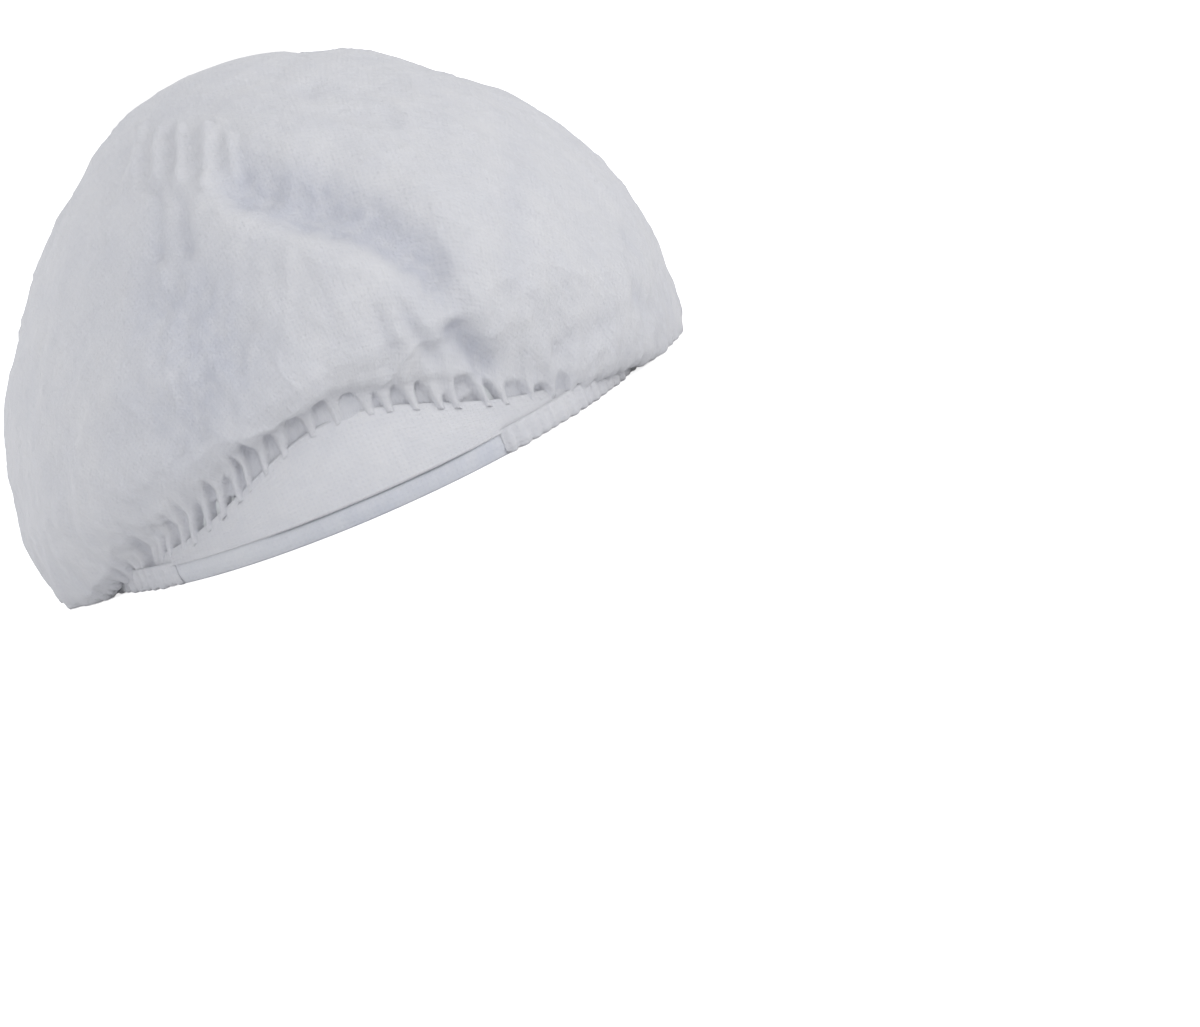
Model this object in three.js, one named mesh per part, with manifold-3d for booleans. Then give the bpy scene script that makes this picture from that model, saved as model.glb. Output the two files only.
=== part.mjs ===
// Bump cap for clean work areas: a padded hard insert under a removable bouffant cover.
//
// Units are millimetres and +Z is up. The cap stands on its rim and its front faces -Y. Every
// piece lies on an oval layer: "turn" is the angle round the cap from the front, towards +X,
// "climb" is the angle from the rim towards the top, and "inset" is how far the layer lies inside
// the outer face of the rim.

import * as THREE from 'three';
import { mergeVertices } from 'three/addons/utils/BufferGeometryUtils.js';
import Module from 'manifold-3d';

const wasm = await Module();
wasm.setup();

// Driving dimensions
const RIM = { x: 91, y: 111 };             // half width and half length of the rim's outer face
const GAP = 0.3;                           // clearance between neighbouring pieces
const SIDES = 48;                          // facets round a full ring

const CAP_HEIGHT = 131.5;                  // rim to the top of the crown cloth
const PUFF = { x: 110, y: 124, z: 38 };    // half width, half length and height of the fullest part
const PUFF_BACK = 7;                       // how far the fullest part sits behind the rim's centre
const PUFF_SHAPE = 1.9;                    // 2 would be an ellipse, less is more pointed
const CLOTH = 1.2;                         // crown cloth with its folds

// Rows of climb, in degrees. Neighbouring layers share them, so that their facets stay parallel.
const DOME_ROWS = [0, 2.5, 7, 14, 23.5, 33, 43, 52, 62, 72, 81, 86, 90];
const CROWN_ROWS = [-90, -60, -30, 0, 12, 24, 36, 47, 58, 68, 76, 84, 90];

const HEM_HEIGHT = 7;
const HEM_THICK = 1.2;
const SIDE_SEAM = 22.5;                    // degrees of turn at which the plain hem ends
const CASING = { inset: -1, thick: 2.2, wall: 0.5 };
const ELASTIC = { width: 5, thick: 0.6 };

const CRESCENT = { height: 21.5, spread: 27.5, cut: 45, thick: 1 };
const TAPE = { below: 3, above: 2, thick: 0.5, reach: 37.5 };
const LABEL = { low: 5.6, high: 36, thick: 0.4, reach: 7.5 };

const SHELL = { inset: 2.8, thick: 2, top: 126, shape: 2.1, low: 1.5 };
const TRIM = { height: 5, wall: 0.9 };
const VENT = { count: 12, climb: 47, length: 18, width: 6 };
const PAD = { thick: 6.5, low: 2.5, high: 33 };
const FRONT_PAD_THICK = 4.5;
const CROWN_PAD = { thick: 8, low: 62, high: 86 };
const SWEATBAND = { thick: 2, reach: 45, rows: [0.25, 2.5, 7, 13] };
const PATCH = { thick: 1.2, hookLow: 81, loopLow: 76 };
const RIVET = { climb: 14, head: 5, rise: 1.2, shank: 2, barb: 2.8, length: 5.2, bore: 2.3, socket: 3.2 };
const RIVET_FACETS = 12;

// Derived sizes
const STEP = 360 / SIDES;
const DOME_TOP = SHELL.top + SHELL.inset;
const PAD_INSET = SHELL.inset + SHELL.thick + GAP;
const TRIM_INSET = SHELL.inset - GAP - TRIM.wall;
const TRIM_THICK = SHELL.thick + 2 * (GAP + TRIM.wall);
const CROWN_EDGE = HEM_HEIGHT + GAP;
const SMALL_END = GAP / RIM.x / 2;         // radians that leave half a gap at a strip's end

const radians = THREE.MathUtils.degToRad;
const RIVET_TURNS = [0, 90, 180, 270].map(radians);

// Layers

// A point on the ring of the rim, straight up and down.
function rimPoint(turn, height, inset) {
  return new THREE.Vector3(
    (RIM.x - inset) * Math.sin(turn),
    -(RIM.y - inset) * Math.cos(turn),
    height,
  );
}

// A point on the dome of the hard insert.
function domePoint(turn, climb, inset) {
  const out = Math.cos(climb) ** (2 / SHELL.shape);
  const up = Math.sin(climb) ** (2 / SHELL.shape);
  return new THREE.Vector3(
    (RIM.x - inset) * out * Math.sin(turn),
    -(RIM.y - inset) * out * Math.cos(turn),
    (DOME_TOP - inset) * up,
  );
}

// How far the crescent-shaped forehead panel rises above the hem at this turn: a bell curve, which
// leaves next to nothing at the sides.
function crescentRise(turn) {
  const fromFront = Math.atan2(Math.sin(turn), Math.cos(turn));
  return CRESCENT.height * Math.exp(-((fromFront / radians(CRESCENT.spread)) ** 2));
}

// A point on the crown cloth. A climb below 0 is the flare from the gathered edge out to the
// fullest part, and a climb above 0 is the dome over it.
function crownPoint(turn, climb, inset) {
  const flare = Math.min(1, 1 + climb / (Math.PI / 2));
  const swell = Math.sin(flare * Math.PI / 2);
  const over = Math.max(0, climb);
  const out = Math.max(0, Math.cos(over)) ** (2 / PUFF_SHAPE);
  const up = Math.sin(over) ** (2 / PUFF_SHAPE);
  const halfWidth = (RIM.x + (PUFF.x - RIM.x) * swell - inset) * out;
  const halfLength = (RIM.y + (PUFF.y - RIM.y) * swell - inset) * out;
  const low = CROWN_EDGE + (PUFF.z - CROWN_EDGE) * flare;
  const height = low + (CAP_HEIGHT - PUFF.z - inset) * up;
  const fromTop = 1 - (height - CROWN_EDGE) / (CAP_HEIGHT - CROWN_EDGE);
  return new THREE.Vector3(
    halfWidth * Math.sin(turn),
    PUFF_BACK * swell * Math.cos(over) - halfLength * Math.cos(turn),
    height + crescentRise(turn) * fromTop ** 2,
  );
}

// Geometry to solids and back

function signedVolume(index, position) {
  const corner = [new THREE.Vector3(), new THREE.Vector3(), new THREE.Vector3()];
  let volume = 0;
  for (let i = 0; i < index.length; i += 3) {
    corner.forEach((point, k) => point.fromBufferAttribute(position, index[i + k]));
    volume += corner[0].dot(corner[1].cross(corner[2])) / 6;
  }
  return volume;
}

function toSolid(geometry) {
  const bare = geometry.clone();
  bare.deleteAttribute('normal');
  bare.deleteAttribute('uv');
  const merged = mergeVertices(bare, 1e-4);
  const index = [];
  for (let i = 0; i < merged.index.count; i += 3) {
    const [a, b, c] = [0, 1, 2].map((k) => merged.index.getX(i + k));
    if (a !== b && b !== c && c !== a) {
      index.push(a, b, c);
    }
  }
  if (signedVolume(index, merged.attributes.position) < 0) {
    index.reverse();
  }
  return new wasm.Manifold(new wasm.Mesh({
    numProp: 3,
    vertProperties: new Float32Array(merged.attributes.position.array),
    triVerts: new Uint32Array(index),
  }));
}

function toGeometry(solid) {
  const mesh = solid.getMesh();
  const geometry = new THREE.BufferGeometry();
  geometry.setAttribute('position', new THREE.BufferAttribute(mesh.vertProperties, 3));
  geometry.setIndex(new THREE.BufferAttribute(mesh.triVerts, 1));
  return geometry;
}

function cut(solid, tools) {
  return tools.reduce((left, tool) => left.subtract(tool), solid);
}

// Moves every vertex of a geometry to the place that the function gives for it.
function reshape(geometry, place) {
  const position = geometry.attributes.position;
  const point = new THREE.Vector3();
  for (let i = 0; i < position.count; i += 1) {
    point.copy(place(point.fromBufferAttribute(position, i)));
    position.setXYZ(i, point.x, point.y, point.z);
  }
  return geometry;
}

// Building blocks

// A strip round part of a layer, between two turns in degrees. place gets the turn in radians, one
// of the strip's levels, which run from the bottom to the top, and the inset.
function strip({ from, to, levels, inset, thick, place }) {
  const count = Math.round((to - from) / STEP);
  const start = radians(from) + SMALL_END;
  const span = radians(to - from) - 2 * SMALL_END;
  const box = new THREE.BoxGeometry(1, 1, 1, count, levels.length - 1, 1);
  return toSolid(reshape(box, (p) => {
    const level = levels[Math.round((p.y + 0.5) * (levels.length - 1))];
    return place(start + (p.x + 0.5) * span, level, inset + (0.5 - p.z) * thick);
  }));
}

// A closed ring round the rim, from a profile of [inset, height] points.
function ring(profile) {
  const loop = [...profile, profile[0]].map(([inset, height]) => new THREE.Vector2(RIM.x - inset, height));
  const lathe = new THREE.LatheGeometry(loop, SIDES);
  return toSolid(reshape(lathe, (p) => {
    const radius = Math.hypot(p.x, p.z);
    return rimPoint(Math.atan2(p.x, p.z), p.y, RIM.x - radius);
  }));
}

// A lathe on one of the domed layers, from a profile of [climb, inset] points in radians and
// millimetres. The first and last points lie on the axis, or the profile closes on itself.
function revolve(profile, place) {
  const unit = profile.map(([climb], i) => new THREE.Vector2(Math.max(0, Math.PI / 2 - climb), i));
  const lathe = new THREE.LatheGeometry(unit, SIDES);
  return toSolid(reshape(lathe, (p) => {
    const [climb, inset] = profile[Math.round(p.y)];
    return place(Math.atan2(p.x, p.z), climb, inset);
  }));
}

// The climbs in radians of the rows between two limits in degrees, both included.
function climbs(rows, low, high) {
  return rows.filter((row) => row >= low && row <= high).map(radians);
}

// A domed skin of even thickness, open at the bottom.
function skin(angles, place, inset, thick) {
  const outer = angles.map((climb) => [climb, inset]);
  const inner = angles.map((climb) => [climb, inset + thick]).reverse();
  return revolve([...inner, ...outer], place);
}

// Axes on the insert's dome: x round the cap, y up the dome, z straight out of it.
function axesOn(turn, climb, inset) {
  const nudge = 1e-3;
  const here = domePoint(turn, climb, inset);
  const along = domePoint(turn + nudge, climb, inset).sub(here).normalize();
  const upward = domePoint(turn, climb + nudge, inset).sub(here);
  const outward = along.clone().cross(upward).normalize();
  return new THREE.Matrix4().makeBasis(along, outward.clone().cross(along), outward).setPosition(here);
}

// A turned piece whose axis stands straight out of the dome, from [radius, height] points.
function pegOnDome(turn, profile) {
  const lathe = new THREE.LatheGeometry(profile.map(([x, y]) => new THREE.Vector2(x, y)), RIVET_FACETS);
  lathe.rotateX(Math.PI / 2);
  lathe.applyMatrix4(axesOn(turn, radians(RIVET.climb), SHELL.inset));
  return toSolid(lathe);
}

// The pieces of the hard insert

function bumpShell() {
  const dome = skin(climbs(DOME_ROWS, 0, 90), domePoint, SHELL.inset, SHELL.thick);
  const belowEdge = new THREE.BoxGeometry(4 * RIM.x, 4 * RIM.y, 2 * SHELL.low);
  const ventTurns = Array.from({ length: VENT.count }, (_, i) => 2 * Math.PI * (i + 0.5) / VENT.count);
  const bores = RIVET_TURNS.map((turn) => rivetBore(turn, RIVET.bore, 2 * SHELL.thick));
  return cut(dome, [toSolid(belowEdge), ...ventTurns.map(ventCutter), ...bores]);
}

function ventCutter(turn) {
  const end = (VENT.length - VENT.width) / 2;
  const outline = new THREE.Shape();
  outline.absarc(0, end, VENT.width / 2, 0, Math.PI);
  outline.absarc(0, -end, VENT.width / 2, Math.PI, 2 * Math.PI);
  const depth = 6 * SHELL.thick;
  const cutter = new THREE.ExtrudeGeometry(outline, { depth, bevelEnabled: false, curveSegments: 4 });
  cutter.translate(0, 0, -depth / 2);
  cutter.applyMatrix4(axesOn(turn, radians(VENT.climb), SHELL.inset));
  return toSolid(cutter);
}

function rivetBore(turn, radius, depth) {
  return pegOnDome(turn, [[0, -depth], [radius, -depth], [radius, SHELL.thick], [0, SHELL.thick]]);
}

// A soft bead with a slot for the shell's edge.
function edgeTrim() {
  const inner = TRIM_INSET + TRIM_THICK;
  const slotFloor = SHELL.low - GAP;
  return ring([
    [TRIM_INSET, 0],
    [TRIM_INSET, TRIM.height],
    [TRIM_INSET + TRIM.wall, TRIM.height],
    [TRIM_INSET + TRIM.wall, slotFloor],
    [inner - TRIM.wall, slotFloor],
    [inner - TRIM.wall, TRIM.height],
    [inner, TRIM.height],
    [inner, 0],
  ]);
}

function wallPad(from, to, thick) {
  const levels = climbs(DOME_ROWS, PAD.low, PAD.high);
  const pad = strip({ from, to, levels, inset: PAD_INSET, thick, place: domePoint });
  return cut(pad, [rivetBore(radians((from + to) / 2), RIVET.socket, RIVET.length + GAP)]);
}

function crownPad() {
  const angles = climbs(DOME_ROWS, CROWN_PAD.low, CROWN_PAD.high);
  const outer = angles.map((climb) => [climb, PAD_INSET]);
  const inner = angles.map((climb) => [climb, PAD_INSET + CROWN_PAD.thick]).reverse();
  return revolve([...outer, ...inner, outer[0]], domePoint);
}

function sweatband() {
  return strip({
    from: -SWEATBAND.reach,
    to: SWEATBAND.reach,
    levels: SWEATBAND.rows.map(radians),
    inset: PAD_INSET + FRONT_PAD_THICK + GAP,
    thick: SWEATBAND.thick,
    place: domePoint,
  });
}

function rivet(turn) {
  const { head, rise, shank, barb, length } = RIVET;
  return pegOnDome(turn, [
    [0, -length],
    [shank / 2, -length],
    [barb, -length / 2 - 1],
    [shank, -length / 2 - 1],
    [shank, GAP],
    [head, GAP],
    [head * 0.8, GAP + rise * 0.8],
    [0, GAP + rise],
  ]);
}

function hookPatch() {
  return skin(climbs(DOME_ROWS, PATCH.hookLow, 90), domePoint, SHELL.inset - GAP - PATCH.thick, PATCH.thick);
}

// The pieces of the cover

function crownCover() {
  return skin(climbs(CROWN_ROWS, -90, 90), crownPoint, 0, CLOTH);
}

function loopPatch() {
  return skin(climbs(CROWN_ROWS, PATCH.loopLow, 90), crownPoint, CLOTH + GAP, PATCH.thick);
}

function foreheadPanel() {
  return strip({
    from: -CRESCENT.cut,
    to: CRESCENT.cut,
    levels: [0, 1],
    inset: 0,
    thick: CRESCENT.thick,
    place: (turn, share, inset) => rimPoint(turn, CROWN_EDGE + (crescentRise(turn) - GAP) * share, inset),
  });
}

function gatherTape() {
  return strip({
    from: -TAPE.reach,
    to: TAPE.reach,
    levels: [-TAPE.below, TAPE.above],
    inset: CLOTH + GAP,
    thick: TAPE.thick,
    place: (turn, level, inset) => rimPoint(turn, CROWN_EDGE + crescentRise(turn) + level, inset),
  });
}

function frontHem() {
  return strip({
    from: -SIDE_SEAM,
    to: SIDE_SEAM,
    levels: [0, HEM_HEIGHT],
    inset: 0,
    thick: HEM_THICK,
    place: rimPoint,
  });
}

// A flat tube round the sides and the back, open at both side seams.
function rearCasing() {
  const { inset, thick, wall } = CASING;
  const from = SIDE_SEAM;
  const to = 360 - SIDE_SEAM;
  const outside = strip({ from, to, levels: [0, HEM_HEIGHT], inset, thick, place: rimPoint });
  const hollow = strip({
    from: from - STEP,
    to: to + STEP,
    levels: [wall, HEM_HEIGHT - wall],
    inset: inset + wall,
    thick: thick - 2 * wall,
    place: rimPoint,
  });
  return cut(outside, [hollow]);
}

function rearElastic() {
  const low = (HEM_HEIGHT - ELASTIC.width) / 2;
  return strip({
    from: SIDE_SEAM,
    to: 360 - SIDE_SEAM,
    levels: [low, low + ELASTIC.width],
    inset: CASING.inset + (CASING.thick - ELASTIC.thick) / 2,
    thick: ELASTIC.thick,
    place: rimPoint,
  });
}

function careLabel() {
  return strip({
    from: 180 - LABEL.reach,
    to: 180 + LABEL.reach,
    levels: [LABEL.low, LABEL.high],
    inset: CLOTH + GAP,
    thick: LABEL.thick,
    place: rimPoint,
  });
}

// Materials

function finish(color, roughness) {
  return new THREE.MeshStandardMaterial({ color, roughness, metalness: 0 });
}

const NONWOVEN = finish(0xd2d2d7, 0.9);
const FOLDED_NONWOVEN = finish(0xc4c6ce, 0.9);
const ELASTIC_WEB = finish(0xe2e2e2, 0.85);
const ABS = finish(0xe6e8ea, 0.4);
const BEAD = finish(0x9aa0a6, 0.7);
const FOAM = finish(0x8d99a6, 0.95);
const TOWELLING = finish(0x8fa9c4, 1);
const HOOK_TAPE = finish(0xdcdcdc, 0.9);
const SATIN = finish(0xf0f0f0, 0.6);

// Assembly

const PIECES = [
  ['bump_shell', ABS, bumpShell()],
  ['edge_trim', BEAD, edgeTrim()],
  ['front_pad', FOAM, wallPad(-45, 45, FRONT_PAD_THICK)],
  ['left_pad', FOAM, wallPad(52.5, 127.5, PAD.thick)],
  ['rear_pad', FOAM, wallPad(135, 225, PAD.thick)],
  ['right_pad', FOAM, wallPad(232.5, 307.5, PAD.thick)],
  ['crown_pad', FOAM, crownPad()],
  ['sweatband', TOWELLING, sweatband()],
  ['front_rivet', ABS, rivet(RIVET_TURNS[0])],
  ['left_rivet', ABS, rivet(RIVET_TURNS[1])],
  ['rear_rivet', ABS, rivet(RIVET_TURNS[2])],
  ['right_rivet', ABS, rivet(RIVET_TURNS[3])],
  ['crown_hook_patch', HOOK_TAPE, hookPatch()],
  ['crown_cover', NONWOVEN, crownCover()],
  ['forehead_panel', NONWOVEN, foreheadPanel()],
  ['front_hem', FOLDED_NONWOVEN, frontHem()],
  ['rear_casing', NONWOVEN, rearCasing()],
  ['rear_elastic', ELASTIC_WEB, rearElastic()],
  ['gather_tape', FOLDED_NONWOVEN, gatherTape()],
  ['crown_loop_patch', HOOK_TAPE, loopPatch()],
  ['care_label', SATIN, careLabel()],
];

const cap = new THREE.Group();
for (const [name, material, solid] of PIECES) {
  const mesh = new THREE.Mesh(toGeometry(solid), material);
  mesh.name = name;
  cap.add(mesh);
}
cap.position.y = -PUFF_BACK;

export default cap;
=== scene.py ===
"""Bump cap for clean work areas: a padded hard insert under a removable bouffant cover.

Lengths are in millimetres until mesh_object() turns them into metres. "turn" is the angle round
the cap from the front towards +X, "climb" is the angle from the rim towards the top, and "inset"
is how far a layer lies inside the outer face of the rim. Angles are radians inside functions.
"""

import math

import bmesh
import bpy
import numpy as np
from mathutils import Matrix, Quaternion, Vector, noise


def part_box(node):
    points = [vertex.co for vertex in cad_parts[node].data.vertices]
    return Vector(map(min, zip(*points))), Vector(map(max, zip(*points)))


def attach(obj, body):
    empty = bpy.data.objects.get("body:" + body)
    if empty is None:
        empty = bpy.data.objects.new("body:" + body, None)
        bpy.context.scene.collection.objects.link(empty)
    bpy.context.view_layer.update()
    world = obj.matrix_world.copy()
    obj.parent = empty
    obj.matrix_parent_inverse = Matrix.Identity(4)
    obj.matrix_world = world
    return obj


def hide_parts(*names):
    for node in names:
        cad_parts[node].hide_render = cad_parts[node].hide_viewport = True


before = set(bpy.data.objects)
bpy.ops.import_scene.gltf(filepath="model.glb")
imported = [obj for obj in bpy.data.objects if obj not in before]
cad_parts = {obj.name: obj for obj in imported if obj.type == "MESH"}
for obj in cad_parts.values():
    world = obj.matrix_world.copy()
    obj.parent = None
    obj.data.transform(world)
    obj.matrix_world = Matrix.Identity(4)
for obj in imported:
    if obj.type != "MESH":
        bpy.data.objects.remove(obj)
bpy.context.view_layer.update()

MM = 0.001


def cad_mm(node):
    """The lowest and highest corner of a CAD node, in millimetres."""
    low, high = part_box(node)
    return np.array(low) / MM, np.array(high) / MM


# Driving dimensions, in millimetres and degrees

CASING_STANDS_OUT = 1
hem_low, _ = cad_mm("front_hem")
_, casing_high = cad_mm("rear_casing")
_, crown_high = cad_mm("crown_cover")
RIM_X = casing_high[0] - CASING_STANDS_OUT
RIM_Y = (casing_high[1] - CASING_STANDS_OUT - hem_low[1]) / 2
RIM_CENTRE = (casing_high[1] - CASING_STANDS_OUT + hem_low[1]) / 2
HEM_TOP = casing_high[2]
CROWN_TOP = crown_high[2] - 2.7            # the cloth lies on the patches, under the CAD node's top

HEM_ENDS = (-43, 25)                       # turns at which the plain hem ends and the casing starts
CRESCENT = {"height": 21.5, "spread": 27.5, "centre": -2, "reach": 47}
CROWN_EDGE = HEM_TOP + 0.3                 # where the crown cloth is sewn on, beside the crescent
CASING_INSET = 0.1                         # the middle of the casing and of the elastic in it
TUCKED_IN = 1.6                            # how far the crown's edge reaches into the casing
OFF_FLOOR = 0.27                           # the cloth's points stay this high, for its thickness
BINDING_REACH = 37.5                       # turn at which the tape inside ends
PANEL_LEAN = 2.5                           # how far the top of the forehead panel leans back
LABEL_HALF = 7                             # half the turn that the label spans
CLOTH_THICK = 0.25
PANEL_THICK = 0.3
LABEL_THICK = 0.2
SEAM_STITCH = {"length": 2.3, "gap": 1.2, "radius": 0.13}
LABEL_STITCH = {"length": 1.8, "gap": 0.9, "radius": 0.12}

BULGE = {"x": 106, "y": 124, "centre_x": 0.4, "centre_y": 0}   # the fullest part, seen from above
BULGE_HEIGHT = {"middle": 23.5, "right": 6.5, "front": 20, "back": 5}
APEX = {"x": -6, "y": -2}
CROWN_SHAPE = {"left": 1.61, "right": 1.85}            # 2 would be an ellipse, less is more pointed
DROOPS = [(13, -74, 20), (12.5, 76, 26)]   # depth, turn and spread where the cloth hangs down
UPRIGHT = {"begins": (-68, -45), "ends": (50, 22)}     # turns where the sewn edge stands upright
TUCK_TURNS = (28, 46)                      # turns from the front over which the edge tucks in

SHELL = {"inset": 2.8, "thick": 2, "top": 126, "shape": 2.1}
CLEARANCE = 0.3
PAD_INSET = SHELL["inset"] + SHELL["thick"] + CLEARANCE
PAD_CLIMBS = (2.7, 32.8)                   # how low and how high the pads reach on the dome
TOWEL_CLIMBS = (0.4, 12.8)
FRONT_TURNS = (-44.5, 44.5)                # the turns that the front pad and the towelling span
SIDE_PADS = {"left": (53, 127), "rear": (135.5, 224.5), "right": (233, 307)}
FRONT_FOAM = 4.5
OVER_SHELL = np.array([1.5, 1.5, 1.2])     # room between the insert and the cloth along X, Y and Z
OVER_PATCHES = 1.5                         # more room for the hook-and-loop patches
OVER_RIVETS = 1.8                          # and for the rivets' heads
FREE_BELOW = 20                            # the cloth isn't pushed out below this height
RIVET_CLIMB = math.radians(14)             # how far up the dome the rivets sit
RIVET_SPACING = math.pi / 2                # one at each quarter of the rim
HOOK_PATCH = {"climb": 81.3, "outer": 1.95, "thick": 0.55}
LOOP_PATCH = {"climb": 77, "outer": 0.45, "thick": 0.5}
HOOKS = {"pitch": 1.4, "stem": 0.525, "curl": 0.22, "radius": 0.1, "climb": 82, "inset": 1.97}
DOME_UNDER_HOOKS = (88, 108)               # half the width and depth of the dome's ground plan

SEED = 7


# Layers: each takes and gives arrays

def rim_points(turn, height, inset):
    """Points on the ring of the rim, straight up and down."""
    turn, height, inset = np.broadcast_arrays(turn, height, inset)
    x = (RIM_X - inset) * np.sin(turn)
    y = RIM_CENTRE - (RIM_Y - inset) * np.cos(turn)
    return np.stack([x, y, height], axis=-1)


def dome_points(turn, climb, inset):
    """Points on the dome of the hard insert."""
    turn, climb, inset = np.broadcast_arrays(turn, climb, inset)
    out = np.abs(np.cos(climb)) ** (2 / SHELL["shape"])
    up = np.abs(np.sin(climb)) ** (2 / SHELL["shape"])
    x = (RIM_X - inset) * out * np.sin(turn)
    y = RIM_CENTRE - (RIM_Y - inset) * out * np.cos(turn)
    z = (SHELL["top"] + SHELL["inset"] - inset) * up
    return np.stack([x, y, z], axis=-1)


def turn_off(turn, degrees):
    """The signed angle from a turn given in degrees."""
    away = turn - math.radians(degrees)
    return np.arctan2(np.sin(away), np.cos(away))


def smoothstep(low, high, value):
    """0 up to low and 1 from high, or the other way round where high is less, with a soft change."""
    share = np.clip((value - low) / (high - low), 0, 1)
    return share * share * (3 - 2 * share)


def crescent_rise(turn):
    """How far the forehead panel rises above the hem."""
    off = turn_off(turn, CRESCENT["centre"])
    return CRESCENT["height"] * np.exp(-(off / math.radians(CRESCENT["spread"])) ** 2)


def crown_points(turn, along):
    """The crown cloth without its folds. along is -1 at the sewn edge, 0 at the fullest part and
    1 at the top."""
    turn, along = np.broadcast_arrays(turn, along)
    side = np.sin(turn)
    ahead = np.cos(turn)
    share = np.clip(1 + along, 0, 1)
    over = np.clip(along, 0, 1) * math.pi / 2
    degrees = np.degrees(turn_off(turn, 0))
    upright = smoothstep(*UPRIGHT["begins"], degrees) * smoothstep(*UPRIGHT["ends"], degrees)
    rolled = 0.35 * smoothstep(0.3, 0.62, share) + 0.65 * smoothstep(0.45, 1, share)
    swell = (1 - upright) * np.sin(share * math.pi / 2) + upright * rolled
    climbed = (1 - upright) * (1 - np.cos(share * math.pi / 2)) + upright * share
    shape = CROWN_SHAPE["left"] + (CROWN_SHAPE["right"] - CROWN_SHAPE["left"]) * (1 + side) / 2
    out = np.abs(np.cos(over)) ** (2 / shape)
    up = np.abs(np.sin(over)) ** (2 / shape)
    rise = crescent_rise(turn)
    lean = PANEL_LEAN * rise / CRESCENT["height"]
    half_x = (RIM_X - lean) * (1 - swell) + BULGE["x"] * swell
    half_y = (RIM_Y - lean) * (1 - swell) + BULGE["y"] * swell
    centre_x = BULGE["centre_x"] * swell + (APEX["x"] - BULGE["centre_x"]) * np.sin(over)
    centre_y = RIM_CENTRE * (1 - swell) + BULGE["centre_y"] * swell
    centre_y = centre_y + (APEX["y"] - BULGE["centre_y"]) * np.sin(over)
    end = np.where(ahead > 0, BULGE_HEIGHT["front"], BULGE_HEIGHT["back"])
    bulge = BULGE_HEIGHT["middle"] + BULGE_HEIGHT["right"] * side + end * ahead ** 2
    edge = CROWN_EDGE + rise - TUCKED_IN * smoothstep(*TUCK_TURNS, np.abs(degrees))
    low = edge + (bulge - edge) * climbed
    for depth, centre, spread in DROOPS:
        off = np.degrees(turn_off(turn, centre))
        low = low - depth * np.exp(-(off / spread) ** 2) * np.sin(share * math.pi)
    z = np.where(along < 0, low, bulge + (CROWN_TOP - bulge) * up)
    return np.stack([centre_x + half_x * out * side, centre_y - half_y * out * ahead, z], axis=-1)


# Meshes

def mesh_object(name, points, faces, material, flat=None, smooth=True, painted_shade=None):
    """A mesh object from points in millimetres. flat gives each point its place in the flat cloth,
    and hollow how much shade is painted into its colour, 0 to 1: on the crown, from how deep it lies in a
    fold or pocket."""
    mesh = bpy.data.meshes.new(name)
    mesh.from_pydata((np.reshape(points, (-1, 3)) * MM).tolist(), [], faces)
    mesh.polygons.foreach_set("use_smooth", [smooth] * len(mesh.polygons))
    if flat is not None:
        places = np.zeros((len(mesh.vertices), 3))
        places[:, :2] = np.reshape(flat, (-1, 2))
        mesh.attributes.new("flat", "FLOAT_VECTOR", "POINT").data.foreach_set("vector", places.ravel())
    if painted_shade is not None:
        mesh.attributes.new("painted_shade", "FLOAT", "POINT").data.foreach_set("value", np.ravel(painted_shade))
    mesh.materials.append(material)
    mesh.validate()
    obj = bpy.data.objects.new(name, mesh)
    bpy.context.collection.objects.link(obj)
    return obj


def grid_faces(rows, columns, closed=False, looped=False, first=0):
    """Quads between rows of points. closed joins the last column to the first, and looped the
    last row to the first."""
    faces = []
    for row in range(rows if looped else rows - 1):
        start, above = first + row * columns, first + (row + 1) % rows * columns
        for column in range(columns if closed else columns - 1):
            following = (column + 1) % columns
            faces.append((start + column, start + following, above + following, above + column))
    return faces


def fan_faces(first, count, tip):
    """Triangles from a ring of points, which starts at the index first, to one point."""
    return [(first + i, first + (i + 1) % count, tip) for i in range(count)]


def ring_faces(counts):
    """Faces between stacked rings, where a ring has as many points as the one below or half."""
    faces = []
    start = 0
    for below, above in zip(counts, counts[1:]):
        top = start + below
        for i in range(above):
            j = (i + 1) % above
            if above == below:
                faces.append((start + i, start + j, top + j, top + i))
            else:
                a, b, c = start + 2 * i, start + 2 * i + 1, start + (2 * i + 2) % below
                faces += [(a, b, top + i), (b, top + j, top + i), (b, c, top + j)]
        start = top
    return faces


def tube_faces(first, rings, rounds):
    """Faces of a capped tube whose rings of points start at the index first."""
    faces = grid_faces(rings, rounds, closed=True, first=first)
    faces.append(tuple(first + k for k in reversed(range(rounds))))
    faces.append(tuple(first + (rings - 1) * rounds + k for k in range(rounds)))
    return faces


def arc_points(centre, radius, angles, side=-1, up=-1):
    """Points of an arc in a profile. side and up say which way its angles start and turn."""
    return [(centre[0] + side * radius * math.cos(a), centre[1] + up * radius * math.sin(a))
            for a in angles]


def thicken(obj, thick):
    """Gives a sheet its real thickness, inwards."""
    solid = obj.modifiers.new("thickness", "SOLIDIFY")
    solid.thickness = thick * MM
    solid.offset = -1


def noise_field(points, size, seed):
    """Smooth noise from about -1 to 1 whose lumps are about size millimetres wide."""
    shift = Vector((seed * 17.3, seed * 5.7, seed * 11.9))
    flat = np.reshape(points, (-1, 3)) / size
    values = [noise.noise(Vector(p) + shift) for p in flat.tolist()]
    return np.reshape(values, np.shape(points)[:-1])


def normals_of(grid):
    """Outward normals of a grid of points that is closed round its columns."""
    across = np.roll(grid, -1, axis=1) - np.roll(grid, 1, axis=1)
    upward = np.gradient(grid, axis=0)
    normal = np.cross(across, upward)
    return normal / np.maximum(np.linalg.norm(normal, axis=-1, keepdims=True), 1e-9)


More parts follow.
